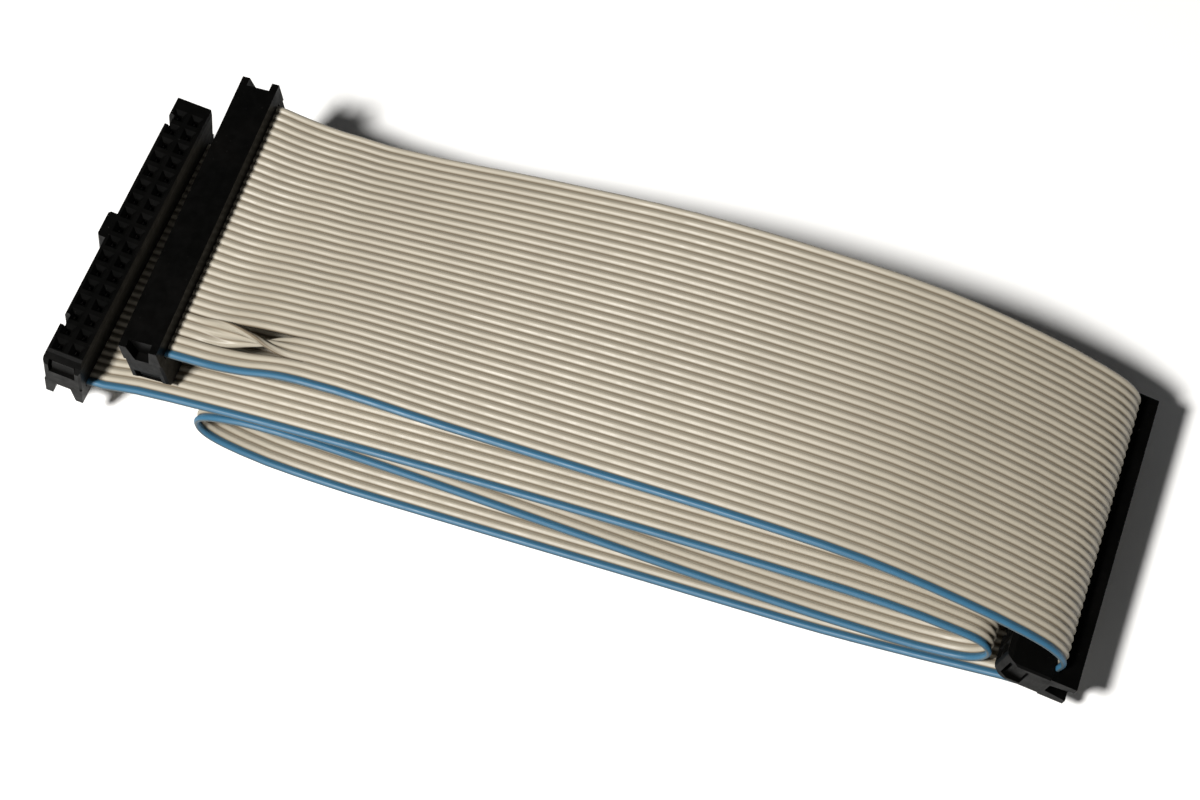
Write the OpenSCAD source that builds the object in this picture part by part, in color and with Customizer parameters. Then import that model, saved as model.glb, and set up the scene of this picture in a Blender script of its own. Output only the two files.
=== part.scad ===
// Flat ribbon cable with three two-row sockets, lying as a loose folded stack.
// Units are millimetres, +Z is up, and the lowest layer of the ribbon rests on Z = 0.
// The ribbon starts in socket 1, folds to and fro three times, rises through socket 2,
// runs back over the top as an arch and ends in socket 3.

/* [Ribbon] */
// Number of conductors side by side
conductors = 34; // [26:2:40]
// Distance between neighbouring conductors
conductor_pitch = 1.27; // [1.05:0.01:1.55]
// Thickness over a conductor
ribbon_thickness = 0.9; // [0.75:0.05:1.1]
// Thickness of the web between two conductors
web_thickness = 0.4; // [0.3:0.05:0.5]

/* [Twist] */
// Conductors on the marked side of the twisted group
plain_conductors = 3; // [2:1:6]
// Conductors in the group that is turned over ahead of socket 3
twisted_conductors = 3; // [2:1:4]
// Width of the cut on each side of the twisted group
slit_width = 0.12; // [0.08:0.02:0.2]
// Angle the group is turned through
twist_angle = 180; // [0:10:180]

/* [Layout] */
// Distance from socket 1 to socket 2 along the stack
stack_length = 147; // [122:1:176]
// Height of the top of the arch
arch_height = 26.7; // [23:0.1:32]

/* [Socket] */
// Width of a socket across its two rows
socket_width = 5.7; // [5:0.1:6.8]
// Height from the back of the cover to the mating face
socket_height = 10.5; // [8.7:0.1:12.6]
// Length of socket past the middle of the last contact
socket_end = 2.78; // [2.7:0.01:3.3]
// Thickness of the cover above the ribbon
cover_height = 2.7; // [2.4:0.1:3.5]
// Width of a square pin hole
hole_width = 0.8; // [0.7:0.05:0.95]
// Width of the square mouth that leads into a pin hole
mouth_width = 1.85; // [1.5:0.05:2.1]
// Depth of that mouth
mouth_depth = 0.65; // [0.5:0.05:0.8]

/* [Key] */
// Length of the raised key on the side of a socket
key_length = 4.2; // [3.5:0.1:5]
// Distance the key stands out from the side
key_depth = 1.2; // [0.8:0.1:1.5]

/* [Clearance] */
// Gap between the ribbon and the socket around it
ribbon_gap = 0.08; // [0.04:0.02:0.14]
// Gap between a contact and its cavity
contact_gap = 0.05; // [0.03:0.01:0.08]
// Gap between the latch of a cover and the body
latch_gap = 0.1; // [0.05:0.01:0.14]

/* [Hidden] */

// Overlap that keeps a cut from ending on the face it opens
cut = 0.05;
// Middle of the bounding box in plan, which becomes the origin
middle = [73.19, 1.62, 0];

// Ribbon section
half_thick = ribbon_thickness / 2;
half_web = web_thickness / 2;
half_pitch = conductor_pitch / 2;
last = 2 * conductors;
half_ribbon = conductors * half_pitch;
// The outermost lobe is round, so its edge is a little inside the half pitch
edge_inset = 0.09;
// Points of the section on both faces
ring_size = 2 * (last + 1);

// Socket heights above the back of the cover
slot_middle = cover_height + ribbon_gap + half_thick;
body_start = slot_middle + half_thick + ribbon_gap;
row_pitch = 2 * conductor_pitch;
row_count = conductors / 2;
half_rows = (row_count - 1) * row_pitch / 2;
half_length = half_rows + socket_end;
half_width = socket_width / 2;
// The cut ends of the ribbon stop just inside the side of the socket
trim = 0.1;

// Chamfers
mouth_chamfer = [0.2, 0.8];
corner_chamfer = 0.3;
// The mating face runs down to the near end in three slopes, each [back from the end, below the face]
near_slopes = [[1.7, 0], [1.2, 0.15], [0.55, 0.85], [0, 1.9]];

// Contact cavity and contact: wide along the row, narrow across it
cavity = [1.1, 1.5];
cavity_end = 1.3;
contact_length = 0.9;
contact_thickness = 0.22;
contact_base = 0.6;

// Latch: a leg of the cover that hooks under a strap of the body
leg_width = 3.4;
leg_thickness = 0.7;
leg_start = half_ribbon + 0.11;
leg_end = 1.5;
hook_reach = 0.25;
hook_height = 1.7;
window_width = leg_width + 0.6;
window_end = 0.9;
window_start = socket_height - window_end - 2.9;

// End notch of the cover
notch_depth = 1.3;
notch_top = 1.75;
notch_bottom = 1.05;
notch_height = cover_height + 0.6;

// Notches down the keyed wall from the mating face, each [along the wall, down]
wall_notch = [1.85, 4.5];
wall_notch_depth = 0.9;
wall_notch_far = 2.9;
wall_notch_near = 5.8;

// Layout: socket 1 faces up, socket 2 faces back along the stack, socket 3 faces down
stretch = stack_length / 147;
arch_scale = (arch_height - 20) / 6.7;
socket1 = [[1.2, 0.7, 7.3], [1, 7, -1.9], 0];
socket2 = [[148 * stretch, -0.2, 8], [1, 14.5, 0], -90];
socket3 = [[13.3, 3.05, 13.5 + socket_height], [2.4, -3, -0.6], 180];

// Route of the middle of the ribbon as [x, y, z, yaw, bank].
// Run 3 leaves socket 1, then loop, run 2 back, loop and run 1 along the floor.
lower_route = [
  [12, 0.6, 11.1, -1.5, 0], [22, 0.5, 12.4, -1, 0], [34, 0.4, 13.4, -0.5, 0],
  [104, 0.5, 14.3, 0, 0], [121, 0.6, 13.3, 0, 0], [131, 0.6, 11.5, 0, 0],
  [134.9, 0.6, 9.9, 0, 0], [135.9, 0.6, 7.6, 0, 0], [134.2, 0.6, 4.9, 0, 0],
  [130, 0.6, 3.5, 0, 0], [118, 0.5, 3.4, 0, 0], [98, 0.4, 4.9, 0, 0],
  [44, 0.2, 11.3, 0, 0], [33, 0.1, 12.1, 0, 0], [24.6, 0, 11.3, 0, 0],
  [20.6, 0, 9, 0, 0], [21, 0, 5.9, 0, 0], [26.5, 0, 2.7, 0, 0],
  [38, 0, 0.8, 0, 0], [52, 0, 0.45, 0, 0], [108, 0, 0.45, 0, 0],
  [127, 0, 1.8, 0, 0.3], [138.5, -0.1, 3.5, 0, 0.6], [142.1, -0.2, 4, 0, 0.9],
  [143.6, -0.2, 4.9, 0, 1]];
// The arch from socket 2 back to the end of the slits
arch_route = [
  [145.9, -0.2, 12.9, 0, 0.9], [144.7, -0.2, 15.6, 0, 0.8], [140, -0.1, 18.7, 0, 1],
  [131, 0, 22.3, 0, 1.5], [117, 0.3, 25.7, 0, 2], [100, 0.7, 26.7, -0.5, 2.5],
  [80, 1.3, 26.2, -1, 2.5], [58, 1.9, 24.6, -1, -1], [37, 2.5, 22.7, -1, -5]];
// From the end of the slits to socket 3
slit_route = [
  [33.5, 2.6, 22.2, -1, -4.6], [31, 2.65, 21.9, -1, -4], [29, 2.7, 21.6, -1, -3.4],
  [26.5, 2.8, 21.3, -1, -2.6], [23, 2.9, 20.95, -0.8, -0.6], [20.3, 2.95, 20.9, -0.7, 0.9]];
// Each strip beside the slits as [across, up, turn as a share of the twist]
near_strip = [[0, 0, 0], [-0.1, -0.1, 0], [-0.2, -0.2, 0], [-0.25, -0.3, 0], [-0.1, -0.2, 0],
  [0, 0, 0], [0, 0, 0], [0, 0, 0]];
turned_strip = [[0, 0, 0.03], [0, 0, 0.19], [0, 0, 0.37], [0, 0, 0.53], [0, 0, 0.77],
  [0, 0, 0.97], [0, 0, 1], [0, 0, 1]];
far_strip = [[0, 0, 0], [0, 0.1, 0], [0, 0.2, 0], [0, 0.1, 0], [0, 0, 0], [0, 0, 0], [0, 0, 0],
  [0, 0, 0]];

function unit(v) = v / norm(v);
function turn_x(a, p) = [p.x, p.y * cos(a) - p.z * sin(a), p.y * sin(a) + p.z * cos(a)];
function turn_y(a, p) = [p.x * cos(a) + p.z * sin(a), p.y, p.z * cos(a) - p.x * sin(a)];
function turn_z(a, p) = [p.x * cos(a) - p.y * sin(a), p.x * sin(a) + p.y * cos(a), p.z];
function lean(r, p) = turn_z(r.z, turn_y(r.y, turn_x(r.x, p)));
function socket_turn(s, p) = lean(s[1], turn_y(s[2], p));
function socket_point(s, p) = s[0] + socket_turn(s, p);

// A station is [point, direction of travel, direction across from the marked edge]
function slot_station(s, v) = [socket_point(s, [v, 0, slot_middle]),
  socket_turn(s, [1, 0, 0]), socket_turn(s, [0, 1, 0])];
function across(f) = [-sin(f[3]) * cos(f[4]), cos(f[3]) * cos(f[4]), sin(f[4])];
function travel(a, b, c) = unit(unit(b - a) + unit(c - b));
function stretched(f, up) = [[f[0] * stretch, f[1], f[2] > 20 ? 20 + (f[2] - 20) * up : f[2]], 0,
  across(f)];
function joined(path) = [for (i = [0 : len(path) - 1])
  path[i][1] == 0 ? [path[i][0], travel(path[i - 1][0], path[i][0], path[i + 1][0]), path[i][2]]
  : path[i]];
stations = joined(concat(
  [slot_station(socket1, trim - half_width), slot_station(socket1, half_width)],
  [for (f = lower_route) stretched(f, 1)],
  [slot_station(socket2, -half_width), slot_station(socket2, half_width)],
  [for (f = arch_route) stretched(f, arch_scale)],
  [for (f = slit_route) stretched(f, arch_scale)],
  [slot_station(socket3, -half_width), slot_station(socket3, half_width - trim)]));
slit_first = len(stations) - len(near_strip) - 1;

// Section points: even steps are grooves between conductors, odd steps are crests
function step_across(i) = i == 0 ? edge_inset - half_ribbon
  : i == last ? half_ribbon - edge_inset : i * half_pitch - half_ribbon;
function step_height(i) = i % 2 == 1 ? half_thick : half_web;
function on_station(s, u, h) = s[0] + u * s[2] + h * unit(cross(s[1], s[2]));
function whole_ring(s) = concat(
  [for (i = [0 : last]) on_station(s, step_across(i), step_height(i))],
  [for (i = [last : -1 : 0]) on_station(s, step_across(i), -step_height(i))]);

// A strip keeps the steps from lo to hi, is cut back at its slit walls and can be moved and turned
function strip_across(i, lo, hi) = step_across(i)
  + (i == lo && lo > 0 ? slit_width / 2 : 0) - (i == hi && hi < last ? slit_width / 2 : 0);
function strip_point(s, m, lo, hi, i, side) =
  let (c = (step_across(lo) + step_across(hi)) / 2)
  let (u = strip_across(i, lo, hi) - c)
  let (h = side * step_height(i))
  let (a = m[2] * twist_angle)
  on_station(s, c + m[0] + u * cos(a) - h * sin(a), u * sin(a) + h * cos(a) - m[1]);
function strip_ring(s, m, lo, hi) = concat(
  [for (i = [lo : hi]) strip_point(s, m, lo, hi, i, 1)],
  [for (i = [hi : -1 : lo]) strip_point(s, m, lo, hi, i, -1)]);
function strip_rings(moves, lo, hi) = [for (k = [0 : len(moves) - 1])
  each strip_ring(stations[slit_first + 1 + k], moves[k], lo, hi)];

slit_one = 2 * plain_conductors;
slit_two = slit_one + 2 * twisted_conductors;
strips = [[0, slit_one, near_strip], [slit_one, slit_two, turned_strip], [slit_two, last, far_strip]];
function strip_size(s) = 2 * (s[1] - s[0] + 1);
whole_points = [for (k = [0 : slit_first]) each whole_ring(stations[k])];
strip_points = [for (s = strips) strip_rings(s[2], s[0], s[1])];
strip_starts = [len(whole_points), len(whole_points) + len(strip_points[0]),
  len(whole_points) + len(strip_points[0]) + len(strip_points[1])];

// Number of a point: ring r of a strip, where ring 0 is the last whole ring
function whole_index(k, j) = k * ring_size + j % ring_size;
function strip_index(n, r, j) =
  let (lo = strips[n][0])
  let (hi = strips[n][1])
  let (size = strip_size(strips[n]))
  let (i = j % size)
  let (step = i <= hi - lo ? lo + i : ring_size - 1 - (hi - (i - (hi - lo + 1))))
  r == 0 ? slit_first * ring_size + step : strip_starts[n] + (r - 1) * size + i;
function quad(a, b, c, d) = [[a, b, c], [a, c, d]];
whole_faces = [for (k = [0 : slit_first - 1]) for (j = [0 : ring_size - 1])
  each quad(whole_index(k, j), whole_index(k, j + 1), whole_index(k + 1, j + 1), whole_index(k + 1, j))];
first_cap = [for (i = [0 : last - 1])
  each quad(whole_index(0, i + 1), whole_index(0, i),
    whole_index(0, ring_size - 1 - i), whole_index(0, ring_size - 2 - i))];
strip_faces = [for (n = [0 : 2]) for (r = [0 : len(near_strip) - 1])
  for (j = [0 : strip_size(strips[n]) - 1])
  each quad(strip_index(n, r, j), strip_index(n, r, j + 1),
    strip_index(n, r + 1, j + 1), strip_index(n, r + 1, j))];
last_caps = [for (n = [0 : 2]) for (i = [0 : strips[n][1] - strips[n][0] - 1])
  let (e = len(near_strip))
  let (size = strip_size(strips[n]))
  each quad(strip_index(n, e, i), strip_index(n, e, i + 1),
    strip_index(n, e, size - 2 - i), strip_index(n, e, size - 1 - i))];

module ribbon() {
  color("lightgray")
    translate(-middle)
      polyhedron(
        points = concat(whole_points, strip_points[0], strip_points[1], strip_points[2]),
        faces = concat(whole_faces, first_cap, strip_faces, last_caps));
}

// Puts a socket, drawn with its cover back at z = 0, where it lies
module placed(s) {
  translate(s[0] - middle)
    rotate(s[1])
      rotate([0, s[2], 0])
        children();
}

// A profile in x and z, run along y
module along_rows(length) {
  rotate([90, 0, 0])
    linear_extrude(height = length, center = true)
      children();
}

// A profile in y and z, run across x
module across_rows(width) {
  rotate([90, 0, 90])
    linear_extrude(height = width, center = true)
      children();
}

module body_block() {
  intersection() {
    along_rows(2 * half_length)
      polygon([[-half_width, body_start], [half_width, body_start],
        [half_width, socket_height - mouth_chamfer.y],
        [half_width - mouth_chamfer.x, socket_height],
        [mouth_chamfer.x - half_width, socket_height],
        [-half_width, socket_height - mouth_chamfer.y]]);
    linear_extrude(height = socket_height + 1)
      polygon([[-half_width, corner_chamfer - half_length],
        [corner_chamfer - half_width, -half_length],
        [half_width - corner_chamfer, -half_length],
        [half_width, corner_chamfer - half_length],
        [half_width, half_length - corner_chamfer],
        [half_width - corner_chamfer, half_length],
        [corner_chamfer - half_width, half_length],
        [-half_width, half_length - corner_chamfer]]);
    across_rows(socket_width)
      polygon(concat([[half_length, 0], [half_length, socket_height]],
        [for (s = near_slopes) [s.x - half_length, socket_height - s.y]], [[-half_length, 0]]));
  }
}

module key() {
  key_bevel = 0.3;
  translate([0, 0, body_start + 0.6])
    linear_extrude(height = socket_height - body_start - 1.1)
      polygon([[1 - half_width, -key_length / 2], [-half_width, -key_length / 2],
        [key_bevel - half_width - key_depth, -key_length / 2],
        [-half_width - key_depth, key_bevel - key_length / 2],
        [-half_width - key_depth, key_length / 2 - key_bevel],
        [key_bevel - half_width - key_depth, key_length / 2],
        [-half_width, key_length / 2], [1 - half_width, key_length / 2]]);
}

// Mouth, pin hole and contact cavity of one contact
module contact_hole() {
  mouth_start = socket_height - mouth_depth;
  slope = (mouth_width - hole_width) / mouth_depth;
  translate([0, 0, mouth_start])
    rotate([0, 0, 45])
      cylinder(h = mouth_depth + cut, d1 = hole_width * sqrt(2),
        d2 = (mouth_width + slope * cut) * sqrt(2), $fn = 4);
  translate([-hole_width / 2, -hole_width / 2, body_start])
    cube([hole_width, hole_width, mouth_start + cut - body_start]);
  translate([-cavity.x / 2, -cavity.y / 2, body_start - cut])
    cube([cavity.x, cavity.y, socket_height - cavity_end + cut - body_start]);
}

// Channel behind the strap and the window below it, at the far end of a body
module latch_pocket() {
  across_rows(leg_width + 2 * latch_gap)
    polygon([[leg_start - latch_gap, body_start - cut],
      [leg_start + leg_thickness + latch_gap, body_start - cut],
      [leg_start + leg_thickness + latch_gap, window_start + cut],
      [leg_start - latch_gap, window_start + cut]]);
  across_rows(window_width)
    polygon([[leg_start - latch_gap, window_start],
      [half_length + cut, window_start],
      [half_length + cut, socket_height - window_end],
      [leg_start - latch_gap, socket_height - window_end]]);
}

module wall_notch_at(y) {
  translate([-half_width - cut, y - wall_notch.x / 2, socket_height - wall_notch.y])
    cube([wall_notch_depth + cut, wall_notch.x, wall_notch.y + cut]);
}

module socket_body() {
  color("dimgray")
    difference() {
      union() {
        body_block();
        key();
      }
      for (side = [-1, 1])
        for (i = [0 : row_count - 1])
          translate([side * conductor_pitch, i * row_pitch - half_rows, 0])
            contact_hole();
      latch_pocket();
      mirror([0, 1, 0])
        latch_pocket();
      wall_notch_at(half_length - wall_notch_far - wall_notch.x / 2);
      wall_notch_at(wall_notch_near + wall_notch.x / 2 - half_length);
    }
}

// Underside of a cover: it drops a little into every groove of the ribbon
module cover_bar() {
  groove_drop = half_thick - half_web;
  foot_end = body_start - 0.02;
  foot_start = half_ribbon + 0.06;
  across_rows(socket_width)
    polygon(concat(
      [[-half_length, 0], [half_length, 0], [half_length, foot_end], [foot_start, foot_end],
        [foot_start, cover_height]],
      [for (i = [last - 1 : -1 : 1])
        [i * half_pitch - half_ribbon, i % 2 == 1 ? cover_height : cover_height + groove_drop]],
      [[-foot_start, cover_height], [-foot_start, foot_end], [-half_length, foot_end]]));
}

module cover_leg() {
  hook_start = window_start + latch_gap;
  across_rows(leg_width)
    polygon([[leg_start, cover_height - 1], [leg_start + leg_thickness, cover_height - 1],
      [leg_start + leg_thickness, hook_start],
      [leg_start + leg_thickness + hook_reach, hook_start],
      [leg_start + leg_thickness, hook_start + hook_height],
      [leg_start + leg_thickness, socket_height - leg_end],
      [leg_start, socket_height - leg_end]]);
}

module cover_notch() {
  translate([0, half_length - notch_depth / 2 + cut, 0])
    along_rows(notch_depth + 2 * cut)
      polygon([[-notch_top, -cut], [notch_top, -cut], [notch_bottom, notch_height],
        [-notch_bottom, notch_height]]);
}

module socket_cover() {
  color("gray")
    difference() {
      union() {
        cover_bar();
        cover_leg();
        mirror([0, 1, 0])
          cover_leg();
      }
      cover_notch();
      mirror([0, 1, 0])
        cover_notch();
    }
}

// One forked contact: a base and two springs that take a pin between them
module contact() {
  outer = cavity.x / 2 - contact_gap;
  inner = outer - contact_thickness;
  base = body_start + contact_gap;
  tip = socket_height - cavity_end - contact_gap;
  along_rows(contact_length)
    polygon([[-outer, base], [outer, base], [outer, tip], [inner, tip],
      [inner, base + contact_base], [-inner, base + contact_base], [-inner, tip], [-outer, tip]]);
}

module contact_row(side) {
  color("gold")
    for (i = [0 : row_count - 1])
      translate([side * conductor_pitch, i * row_pitch - half_rows, 0])
        contact();
}

ribbon();
placed(socket1) socket_body();  // socket1_body
placed(socket1) socket_cover();  // socket1_cover
placed(socket1) contact_row(-1);  // socket1_row1
placed(socket1) contact_row(1);  // socket1_row2
placed(socket2) socket_body();  // socket2_body
placed(socket2) socket_cover();  // socket2_cover
placed(socket2) contact_row(-1);  // socket2_row1
placed(socket2) contact_row(1);  // socket2_row2
placed(socket3) socket_body();  // socket3_body
placed(socket3) socket_cover();  // socket3_cover
placed(socket3) contact_row(-1);  // socket3_row1
placed(socket3) contact_row(1);  // socket3_row2
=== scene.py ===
"""Looks of a folded flat ribbon cable with three two-row sockets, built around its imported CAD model.

Everything is in metres in the frame of the CAD model: +X along the folded stack, +Y across the
ribbon from its blue edge, +Z up. The ribbon is made again here with round ribs and smooth folds.
"""
import math

import bpy
from mathutils import Matrix, Vector


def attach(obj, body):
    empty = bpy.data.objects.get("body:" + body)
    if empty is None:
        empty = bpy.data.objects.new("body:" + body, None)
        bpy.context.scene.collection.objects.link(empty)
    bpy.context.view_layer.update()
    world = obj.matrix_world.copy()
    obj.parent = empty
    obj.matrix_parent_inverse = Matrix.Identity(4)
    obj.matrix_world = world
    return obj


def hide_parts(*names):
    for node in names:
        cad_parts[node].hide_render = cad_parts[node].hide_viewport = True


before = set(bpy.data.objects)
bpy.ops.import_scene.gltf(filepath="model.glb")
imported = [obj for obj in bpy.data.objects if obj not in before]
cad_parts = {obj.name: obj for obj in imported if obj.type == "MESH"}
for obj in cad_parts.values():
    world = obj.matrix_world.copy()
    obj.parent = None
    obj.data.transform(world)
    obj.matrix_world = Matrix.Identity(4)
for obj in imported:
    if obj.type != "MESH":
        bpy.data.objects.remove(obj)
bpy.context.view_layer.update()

# ---------------------------------------------------------------- sizes, as in the CAD source
CONDUCTORS = 34
PITCH = 0.00127
THICKNESS = 0.0009
# Thickness of the vinyl between two conductors
WEB = 0.0004
# Width of each slit
SLIT = 0.00012
# Conductors beside the blue edge that stay flat, and those next to them that are turned over
PLAIN_CONDUCTORS = 3
TWISTED_CONDUCTORS = 3
SOCKET_WIDTH = 0.0057
# Height of the ribbon's middle over the back of a cover
SLOT_MIDDLE = 0.00323
# How far the ribbon's cut ends stay inside the sockets at its ends
TRIM = 0.0001
# Point of the route's frame that lies at the origin
MIDDLE = Vector((0.07319, 0.00162, 0))

# Each socket as (place of its cover's back, lean about X, Y, Z in degrees, turn about Y)
SOCKET1 = (Vector((0.0012, 0.0007, 0.0073)), (1, 7, -1.9), 0)
SOCKET2 = (Vector((0.148, -0.0002, 0.008)), (1, 14.5, 0), -90)
SOCKET3 = (Vector((0.0133, 0.00305, 0.024)), (2.4, -3, -0.6), 180)

# Middle of the ribbon as (x, y, z, yaw, bank)
LOWER_ROUTE = [
    (0.012, 0.0006, 0.0111, -1.5, 0), (0.022, 0.0005, 0.0124, -1, 0),
    (0.034, 0.0004, 0.0134, -0.5, 0), (0.104, 0.0005, 0.0143, 0, 0),
    (0.121, 0.0006, 0.0133, 0, 0), (0.131, 0.0006, 0.0115, 0, 0),
    (0.1349, 0.0006, 0.0099, 0, 0), (0.1359, 0.0006, 0.0076, 0, 0),
    (0.1342, 0.0006, 0.0049, 0, 0), (0.13, 0.0006, 0.0035, 0, 0),
    (0.118, 0.0005, 0.0034, 0, 0), (0.098, 0.0004, 0.0049, 0, 0),
    (0.044, 0.0002, 0.0113, 0, 0), (0.033, 0.0001, 0.0121, 0, 0),
    (0.0246, 0, 0.0113, 0, 0), (0.0206, 0, 0.009, 0, 0), (0.021, 0, 0.0059, 0, 0),
    (0.0265, 0, 0.0027, 0, 0), (0.038, 0, 0.0008, 0, 0), (0.052, 0, 0.00045, 0, 0),
    (0.108, 0, 0.00045, 0, 0), (0.127, 0, 0.0018, 0, 0.3), (0.1385, -0.0001, 0.0035, 0, 0.6),
    (0.1421, -0.0002, 0.004, 0, 0.9), (0.1436, -0.0002, 0.0049, 0, 1)]
ARCH_ROUTE = [
    (0.1459, -0.0002, 0.0129, 0, 0.9), (0.1447, -0.0002, 0.0156, 0, 0.8),
    (0.14, -0.0001, 0.0187, 0, 1), (0.131, 0, 0.0223, 0, 1.5), (0.117, 0.0003, 0.0257, 0, 2),
    (0.1, 0.0007, 0.0267, -0.5, 2.5), (0.08, 0.0013, 0.0262, -1, 2.5),
    (0.058, 0.0019, 0.0246, -1, -1), (0.037, 0.0025, 0.0227, -1, -5)]
SLIT_ROUTE = [
    (0.0335, 0.0026, 0.0222, -1, -4.6), (0.031, 0.00265, 0.0219, -1, -4),
    (0.029, 0.0027, 0.0216, -1, -3.4), (0.0265, 0.0028, 0.0213, -1, -2.6),
    (0.023, 0.0029, 0.02095, -0.8, -0.6), (0.0203, 0.00295, 0.0209, -0.7, 0.9)]
# The strips beside the slits as (across, up, share of a half turn), from the slits' end on
NEAR_STRIP = [(0, 0, 0), (0, 0, 0), (-0.0001, -0.0001, 0), (-0.0002, -0.0002, 0),
              (-0.00025, -0.0003, 0), (-0.0001, -0.0002, 0), (0, 0, 0), (0, 0, 0), (0, 0, 0)]
TURNED_STRIP = [(0, 0, 0), (0, 0, 0.03), (0, 0, 0.19), (0, 0, 0.37), (0, 0, 0.53),
                (0, 0, 0.77), (0, 0, 0.97), (0, 0, 1), (0, 0, 1)]
FAR_STRIP = [(0, 0, 0), (0, 0, 0), (0, 0.0001, 0), (0, 0.0002, 0), (0, 0.0001, 0),
             (0, 0, 0), (0, 0, 0), (0, 0, 0), (0, 0, 0)]

# ---------------------------------------------------------------- camera
CAMERA_AIM = Vector((-0.00027, 0.00019, 0.005))
CAMERA_DISTANCE = 0.4295
CAMERA_HEADING = math.radians(-19.49)
CAMERA_DOWN = math.radians(61.01)
CAMERA_ROLL = math.radians(-1.2)
CAMERA_LENS = 90
CAMERA_SENSOR = 36
CAMERA_NEAR = 0.01


def add_camera():
    forward = Vector((math.sin(CAMERA_HEADING) * math.cos(CAMERA_DOWN),
                      math.cos(CAMERA_HEADING) * math.cos(CAMERA_DOWN), -math.sin(CAMERA_DOWN)))
    level = Vector((math.cos(CAMERA_HEADING), -math.sin(CAMERA_HEADING), 0))
    upright = level.cross(forward)
    right = math.cos(CAMERA_ROLL) * level + math.sin(CAMERA_ROLL) * upright
    up = math.cos(CAMERA_ROLL) * upright - math.sin(CAMERA_ROLL) * level
    data = bpy.data.cameras.new("camera")
    data.lens = CAMERA_LENS
    data.sensor_width = CAMERA_SENSOR
    data.clip_start = CAMERA_NEAR
    camera = bpy.data.objects.new("camera", data)
    turn = Matrix((right, up, -forward)).transposed().to_4x4()
    camera.matrix_world = Matrix.Translation(CAMERA_AIM - forward * CAMERA_DISTANCE) @ turn
    bpy.context.scene.collection.objects.link(camera)
    bpy.context.scene.camera = camera


# ---------------------------------------------------------------- materials
# Share of the vinyl's colour that is left where it is hazy
HAZE_TONE = 0.93
DARK_SPECK = (0.16, 0.13, 0.1, 1)
LIGHT_SPECK = (0.08, 0.076, 0.072, 1)
BRIGHT_TIN = (0.62, 0.6, 0.56, 1)
DULL_TIN = (0.48, 0.46, 0.42, 1)
PALE = (0.9, 0.9, 0.9, 1)
PALE_CLOUD = (0.88, 0.88, 0.88, 1)


class Shader:
    """A node material with short calls for the nodes used here."""

    def __init__(self, name):
        self.material = bpy.data.materials.new(name)
        self.material.use_nodes = True
        self.tree = self.material.node_tree
        self.surface = self.tree.nodes["Principled BSDF"]

    def node(self, kind, **inputs):
        made = self.tree.nodes.new(kind)
        for key, value in inputs.items():
            self.feed(made.inputs[key.replace("_", " ")], value)
        return made

    def feed(self, socket, value):
        if isinstance(value, bpy.types.NodeSocket):
            self.tree.links.new(value, socket)
        else:
            socket.default_value = value

    def math(self, operation, a, b=0.0):
        made = self.tree.nodes.new("ShaderNodeMath")
        made.operation = operation
        self.feed(made.inputs[0], a)
        self.feed(made.inputs[1], b)
        return made.outputs[0]

    def noise(self, scale, detail=3.0, roughness=0.5, vector=None):
        made = self.node("ShaderNodeTexNoise", Scale=scale, Detail=detail, Roughness=roughness)
        self.feed(made.inputs["Vector"], vector or self.place())
        return made.outputs["Fac"]

    def place(self):
        return self.node("ShaderNodeTexCoord").outputs["Object"]

    def span(self, value, low, high, to_low, to_high):
        made = self.node("ShaderNodeMapRange")
        for key, amount in zip(("Value", "From Min", "From Max", "To Min", "To Max"),
                               (value, low, high, to_low, to_high)):
            self.feed(made.inputs[key], amount)
        return made.outputs["Result"]

    def blend(self, share, first, second):
        made = self.tree.nodes.new("ShaderNodeMix")
        made.data_type = "RGBA"
        self.feed(made.inputs[0], share)
        self.feed(made.inputs[6], first)
        self.feed(made.inputs[7], second)
        return made.outputs[2]

    def bump(self, height, distance, strength=1.0, below=None):
        made = self.node("ShaderNodeBump", Height=height, Distance=distance, Strength=strength)
        if below:
            self.feed(made.inputs["Normal"], below)
        return made.outputs["Normal"]

    def set(self, **inputs):
        for key, value in inputs.items():
            self.feed(self.surface.inputs[key.replace("_", " ")], value)
        return self.material


def vinyl(name, crown, groove):
    """Soft extruded vinyl: painted shade darkens the grooves, with faint haze, dust and drawing lines.
    """
    s = Shader(name)
    across = s.node("ShaderNodeSeparateXYZ", Vector=s.node("ShaderNodeTexCoord").outputs["UV"])
    rib = s.math("ABSOLUTE", s.math("SUBTRACT", s.math("FRACT", across.outputs["X"]), 0.5))
    # Painted shade: the colour darkens towards each groove between the ribs, where shade falls
    groove_shade = s.span(rib, 0.3, 0.48, 0, 1)
    haze = s.span(s.noise(90, 4, 0.6), 0.35, 0.65, 0, 1)
    hazy = tuple(HAZE_TONE * c for c in crown[:3]) + (1,)
    cloud = s.blend(haze, crown, hazy)
    speck = s.span(s.noise(2600, 2, 0.7), 0.74, 0.8, 0, 0.5)
    dusty = s.blend(speck, cloud, DARK_SPECK)
    colour = s.blend(groove_shade, dusty, groove)
    rough = s.span(s.noise(400, 3, 0.6), 0.3, 0.7, 0.4, 0.52)
    drawn = s.node("ShaderNodeMapping", Scale=(9, 60, 1),
                   Vector=s.node("ShaderNodeTexCoord").outputs["UV"])
    fine = s.bump(s.noise(6000, 3, 0.6), 0.00001, 0.35)
    lines = s.bump(s.noise(1.0, 3, 0.6, drawn.outputs["Vector"]), 0.00003, 0.35, fine)
    return s.set(Base_Color=colour, Roughness=rough, Normal=lines, Specular_IOR_Level=0.35)


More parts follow.
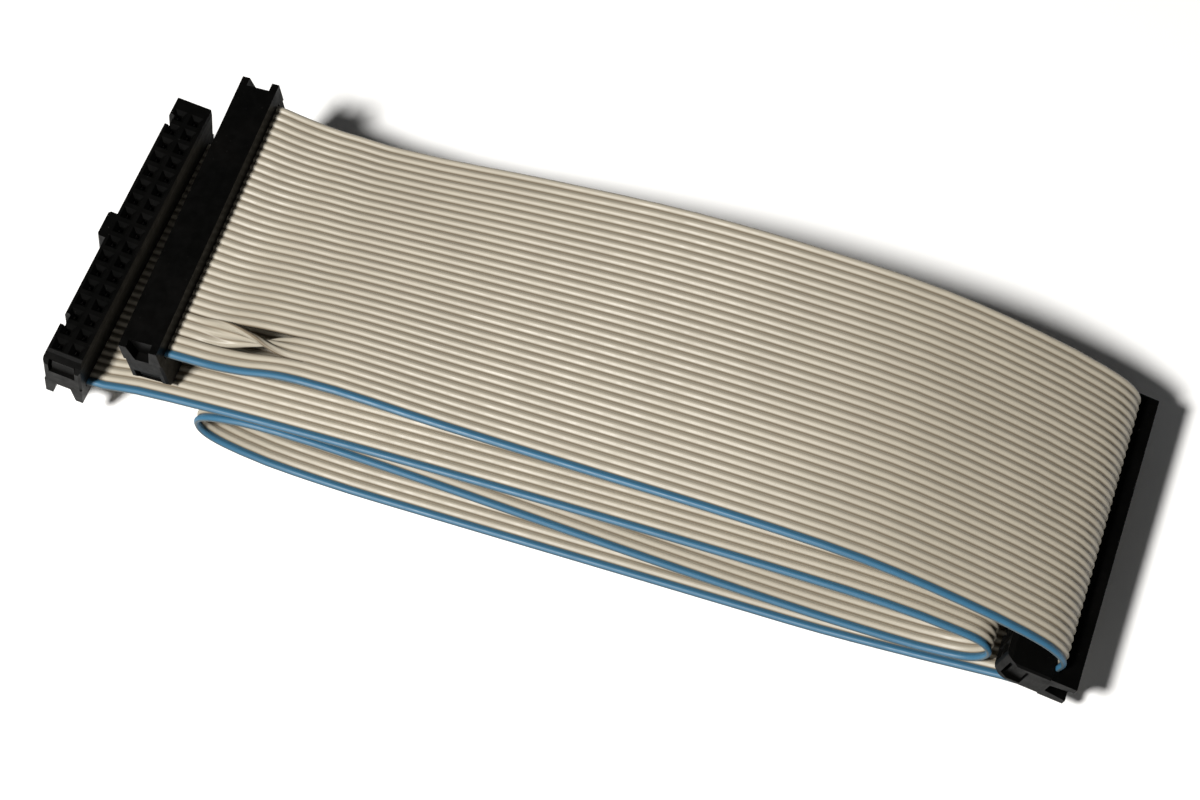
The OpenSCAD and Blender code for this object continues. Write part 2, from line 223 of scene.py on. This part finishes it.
def moulding(name, colour, worn, rough):
    """Black glass-filled moulding: fine matt grain, faint dusty patches and a little rub."""
    s = Shader(name)
    patch = s.span(s.noise(130, 4, 0.65), 0.45, 0.75, 0, 1)
    speck = s.span(s.noise(2400, 2, 0.8), 0.73, 0.8, 0, 0.7)
    tone = s.blend(speck, s.blend(patch, colour, worn), LIGHT_SPECK)
    shine = s.span(s.noise(700, 3, 0.6), 0.3, 0.7, rough - 0.08, rough + 0.1)
    grain = s.bump(s.noise(5200, 3, 0.65), 0.00002, 0.5)
    wave = s.bump(s.noise(260, 2, 0.5), 0.00008, 0.3, grain)
    return s.set(Base_Color=tone, Roughness=shine, Normal=wave, Specular_IOR_Level=0.06)


def tin(name):
    """Tinned sheet metal: dull bright, with fine rolling marks."""
    s = Shader(name)
    dull = s.span(s.noise(900, 3, 0.6), 0.3, 0.7, 0, 1)
    tone = s.blend(dull, BRIGHT_TIN, DULL_TIN)
    marks = s.bump(s.noise(4000, 3, 0.6), 0.00001, 0.4)
    return s.set(Base_Color=tone, Metallic=1.0, Roughness=0.34, Normal=marks)


def paper(name):
    """Plain pale floor."""
    s = Shader(name)
    cloud = s.span(s.noise(6, 2, 0.5), 0.3, 0.7, 0, 1)
    tone = s.blend(cloud, PALE, PALE_CLOUD)
    return s.set(Base_Color=tone, Roughness=0.9, Specular_IOR_Level=0.1)


# The second colour of each vinyl is painted shade for its grooves
GREY_VINYL = vinyl("vinyl_grey", (0.335, 0.303, 0.243, 1), (0.15, 0.12, 0.083, 1))
BLUE_VINYL = vinyl("vinyl_blue", (0.03, 0.11, 0.19, 1), (0.045, 0.07, 0.085, 1))
BODY_PLASTIC = moulding("black_body", (0.0012, 0.0012, 0.0011, 1), (0.0028, 0.0026, 0.0024, 1), 0.42)
COVER_PLASTIC = moulding("black_cover", (0.001, 0.001, 0.0009, 1), (0.0024, 0.0022, 0.002, 1), 0.4)
CONTACT_TIN = tin("contact_tin")

# ---------------------------------------------------------------- ribbon
HALF_WIDTH = CONDUCTORS * PITCH / 2
CROWN = THICKNESS / 2
# The rounded long edges: how far they are drawn in, and their height to each side
EDGE_INSET = 0.00012
EDGE_HEIGHT = WEB * 0.3
# Samples over one conductor as (share of the pitch from its middle, height), groove first
RIB = [(-0.5, WEB / 2)] + [
    (share, max(WEB / 2, math.sqrt(CROWN ** 2 - (share * PITCH) ** 2)))
    for share in (-0.33, -0.2, 0.0, 0.2, 0.33)]
# Number of the last point across the section
LAST = CONDUCTORS * len(RIB)


def turned(p, angles):
    """p turned about X, then Y, then Z."""
    for axis, angle in zip("XYZ", angles):
        p = Matrix.Rotation(math.radians(angle), 3, axis) @ p
    return p


def socket_turn(socket, p):
    return turned(Matrix.Rotation(math.radians(socket[2]), 3, "Y") @ Vector(p), socket[1])


def slot_station(socket, v):
    """A station of the ribbon in a socket's slot, v across the socket from its middle."""
    return (socket[0] + socket_turn(socket, (v, 0, SLOT_MIDDLE)),
            socket_turn(socket, (1, 0, 0)), socket_turn(socket, (0, 1, 0)))


def free_station(x, y, z, yaw, bank):
    yaw, bank = math.radians(yaw), math.radians(bank)
    across = Vector((-math.sin(yaw) * math.cos(bank), math.cos(yaw) * math.cos(bank), math.sin(bank)))
    return Vector((x, y, z)), None, across


def route_stations():
    """All stations as (point, direction of travel, across, whether it lies in a slot)."""
    half = SOCKET_WIDTH / 2
    raw = [slot_station(SOCKET1, TRIM - half), slot_station(SOCKET1, half)]
    raw += [free_station(*f) for f in LOWER_ROUTE]
    raw += [slot_station(SOCKET2, -half), slot_station(SOCKET2, half)]
    raw += [free_station(*f) for f in ARCH_ROUTE + SLIT_ROUTE]
    raw += [slot_station(SOCKET3, -half), slot_station(SOCKET3, half - TRIM)]
    done = []
    for k, (point, travel, across) in enumerate(raw):
        held = travel is not None
        if not held:
            before = (point - raw[k - 1][0]).normalized()
            travel = before + (raw[k + 1][0] - point).normalized()
            if point.z in (raw[k - 1][0].z, raw[k + 1][0].z):
                travel.z = 0
            travel.normalize()
        done.append((point, travel, across, held))
    return done


def hermite(a, b, slope_a, slope_b, length, t):
    """Cubic from a to b over length, with those slopes, at t from 0 to 1."""
    s = 1 - t
    return (a * (1 + 2 * t) * s * s + b * t * t * (3 - 2 * t)
            + slope_a * (length * t * s * s) - slope_b * (length * t * t * s))


def slopes(values, lengths, held):
    """A smooth slope at each value along the route. It is level where the ribbon is held."""
    found = []
    for k, value in enumerate(values):
        if held[k] or k in (0, len(values) - 1):
            found.append(value * 0)
            continue
        before = (value - values[k - 1]) / lengths[k - 1]
        after = (values[k + 1] - value) / lengths[k]
        share = lengths[k - 1] / (lengths[k - 1] + lengths[k])
        found.append(before * (1 - share) + after * share)
    return found


STATIONS = route_stations()
SLIT_START = len(STATIONS) - len(NEAR_STRIP)
# Longest steps along the route, outside the slits and beside them, and the most turn in one
LONGEST_STEP = 0.006
SLIT_STEP = 0.0009
TURN_STEP = math.radians(6)
# How far to each side of a point its direction is taken, as a share of the way between stations
LOOK = 0.01


def fine_route():
    """The route in small steps, each (point, travel, across, station it follows, share to the next)."""
    points = [s[0] for s in STATIONS]
    held = [s[3] for s in STATIONS]
    lengths = [(b - a).length for a, b in zip(points, points[1:])]
    lean = slopes([s[2] for s in STATIONS], lengths, held)
    steps = []
    for k, length in enumerate(lengths):
        a, b = STATIONS[k], STATIONS[k + 1]
        bend = a[1].angle(b[1])
        longest = SLIT_STEP if k >= SLIT_START else LONGEST_STEP
        count = max(1, math.ceil(length / longest), math.ceil(bend / TURN_STEP))
        for i in range(count):
            steps.append((k, i / count))
    steps.append((len(lengths) - 1, 1.0))
    fine = []
    for k, t in steps:
        a, b, length = STATIONS[k], STATIONS[k + 1], lengths[k]
        point = hermite(a[0], b[0], a[1], b[1], length, t)
        ahead = hermite(a[0], b[0], a[1], b[1], length, min(1, t + LOOK))
        behind = hermite(a[0], b[0], a[1], b[1], length, max(0, t - LOOK))
        across = hermite(a[2], b[2], lean[k], lean[k + 1], length, t).normalized()
        fine.append((point - MIDDLE, (ahead - behind).normalized(), across, k, t))
    return fine


def section_point(i):
    """Point i of the section on one face, as (across from the middle, height)."""
    conductor, sample = divmod(i, len(RIB))
    share, height = RIB[sample] if i < LAST else RIB[0]
    place = (conductor + 0.5 + share) * PITCH - HALF_WIDTH if i < LAST else HALF_WIDTH
    if i == 0:
        return place + EDGE_INSET, EDGE_HEIGHT
    if i == LAST:
        return place - EDGE_INSET, EDGE_HEIGHT
    return place, height


def strip_move(moves, k, t):
    """How a strip is moved and turned at share t after station k of the slits."""
    lengths = [(STATIONS[SLIT_START + j + 1][0] - STATIONS[SLIT_START + j][0]).length
               for j in range(len(moves) - 1)]
    held = [STATIONS[SLIT_START + j][3] for j in range(len(moves))]
    values = [Vector(m) for m in moves]
    rate = slopes(values, lengths, held)
    return hermite(values[k], values[k + 1], rate[k], rate[k + 1], lengths[k], t)


def ring(step, lo, hi, move=None):
    """Points round the section from its point lo to hi: along one face, then back along the other."""
    point, travel, across = step[:3]
    normal = travel.cross(across).normalized()
    middle = (section_point(lo)[0] + section_point(hi)[0]) / 2
    shift, rise, turn = move if move else (0, 0, 0)
    angle = turn * math.pi
    made = []
    for side, order in ((1, range(lo, hi + 1)), (-1, range(hi, lo - 1, -1))):
        for i in order:
            u, h = section_point(i)
            if move:
                u += SLIT / 2 if i == lo and lo > 0 else 0
                u -= SLIT / 2 if i == hi and hi < LAST else 0
            u, h = u - middle, h * side
            a = middle + shift + u * math.cos(angle) - h * math.sin(angle)
            n = u * math.sin(angle) + h * math.cos(angle) - rise
            made.append(point + across * a + normal * n)
    return made


def make_ribbon():
    """One closed mesh: whole rings to the slits' end, then three strips side by side."""
    fine = fine_route()
    travelled = [0.0]
    for a, b in zip(fine, fine[1:]):
        travelled.append(travelled[-1] + (b[0] - a[0]).length)
    first_slit = next(n for n, step in enumerate(fine) if step[3] >= SLIT_START)
    size = 2 * (LAST + 1)
    points, faces, shares, distances = [], [], [], []

    def add_ring(n, lo, hi, move=None):
        start = len(points)
        points.extend(ring(fine[n], lo, hi, move))
        order = list(range(lo, hi + 1)) + list(range(hi, lo - 1, -1))
        shares.extend(i / len(RIB) for i in order)
        distances.extend([travelled[n]] * len(order))
        return list(range(start, len(points)))

    def join(a, b):
        for j in range(len(a)):
            nxt = (j + 1) % len(a)
            faces.append((a[j], a[nxt], b[nxt], b[j]))

    def cap(loop, flip):
        half = len(loop) // 2
        for i in range(half - 1):
            face = (loop[i], loop[i + 1], loop[-2 - i], loop[-1 - i])
            faces.append(face[::-1] if flip else face)

    previous = add_ring(0, 0, LAST)
    cap(previous, True)
    for n in range(1, first_slit + 1):
        current = add_ring(n, 0, LAST)
        join(previous, current)
        previous = current
    whole = previous
    slit_one = PLAIN_CONDUCTORS * len(RIB)
    slit_two = slit_one + TWISTED_CONDUCTORS * len(RIB)
    for lo, hi, moves in ((0, slit_one, NEAR_STRIP), (slit_one, slit_two, TURNED_STRIP),
                          (slit_two, LAST, FAR_STRIP)):
        previous = whole[lo:hi + 1] + whole[size - 1 - hi:size - lo]
        for n in range(first_slit + 1, len(fine)):
            k, t = fine[n][3] - SLIT_START, fine[n][4]
            current = add_ring(n, lo, hi, strip_move(moves, k, t))
            join(previous, current)
            previous = current
        cap(previous, False)

    mesh = bpy.data.meshes.new("ribbon_looks")
    mesh.from_pydata([tuple(p) for p in points], [], faces)
    mesh.materials.append(GREY_VINYL)
    mesh.materials.append(BLUE_VINYL)
    layer = mesh.uv_layers.new(name="rib_and_run")
    for face in mesh.polygons:
        face.use_smooth = True
        middle = sum(shares[v] for v in face.vertices) / len(face.vertices)
        face.material_index = 1 if middle < 1 else 0
        for loop in face.loop_indices:
            v = mesh.loops[loop].vertex_index
            layer.data[loop].uv = (shares[v], distances[v])
    mesh.validate()
    ribbon = bpy.data.objects.new("ribbon_vinyl", mesh)
    bpy.context.scene.collection.objects.link(ribbon)
    return ribbon, travelled[-1]


# ---------------------------------------------------------------- sockets
BODY_EDGE = 0.00006
COVER_EDGE = 0.00008
# Corners flatter than this stay sharp
EDGE_ANGLE = math.radians(40)


def finish_socket(node, material, edge):
    """A CAD piece with its own material and, where edge isn't 0, small rounded edges."""
    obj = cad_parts[node]
    obj.data.materials.clear()
    obj.data.materials.append(material)
    if edge:
        soft = obj.modifiers.new("edge", "BEVEL")
        soft.width = edge
        soft.segments = 2
        soft.limit_method = "ANGLE"
        soft.angle_limit = EDGE_ANGLE
        soft.harden_normals = True


def finish_sockets():
    for n in (1, 2, 3):
        finish_socket(f"socket{n}_body", BODY_PLASTIC, BODY_EDGE)
        finish_socket(f"socket{n}_cover", COVER_PLASTIC, COVER_EDGE)
        finish_socket(f"socket{n}_row1", CONTACT_TIN, 0)
        finish_socket(f"socket{n}_row2", CONTACT_TIN, 0)


# ---------------------------------------------------------------- floor and light
FLOOR_REACH = 3.0
WORLD_COLOUR = (0.96, 0.98, 1, 1)
WORLD_STRENGTH = 0.045


def add_floor():
    corners = [(x * FLOOR_REACH, y * FLOOR_REACH, 0) for x, y in ((-1, -1), (1, -1), (1, 1), (-1, 1))]
    mesh = bpy.data.meshes.new("floor")
    mesh.from_pydata(corners, [], [(0, 1, 2, 3)])
    mesh.materials.append(paper("floor_pale"))
    floor = bpy.data.objects.new("floor", mesh)
    bpy.context.scene.collection.objects.link(floor)


def add_light(name, place, aim, size, power, colour):
    data = bpy.data.lights.new(name, "AREA")
    data.shape = "DISK"
    data.size = size
    data.energy = power
    data.color = colour
    light = bpy.data.objects.new(name, data)
    light.location = place
    light.rotation_euler = (Vector(aim) - Vector(place)).to_track_quat("-Z", "Y").to_euler()
    bpy.context.scene.collection.objects.link(light)


def add_lights():
    world = bpy.data.worlds.new("studio")
    world.use_nodes = True
    background = world.node_tree.nodes["Background"]
    background.inputs["Color"].default_value = WORLD_COLOUR
    background.inputs["Strength"].default_value = WORLD_STRENGTH
    bpy.context.scene.world = world
    bpy.context.scene.view_settings.view_transform = "Standard"
    add_light("key", place=(-0.27, -0.49, 0.79), aim=(0, 0, 0), size=0.15, power=15.5,
              colour=(1, 0.985, 0.955))
    add_light("front", place=(0.1, -0.95, 0.3), aim=(0, 0, 0.01), size=0.6, power=1.0,
              colour=(1, 0.99, 0.97))


add_camera()
ribbon, length = make_ribbon()
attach(ribbon, "root")
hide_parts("ribbon")
finish_sockets()
add_floor()
add_lights()
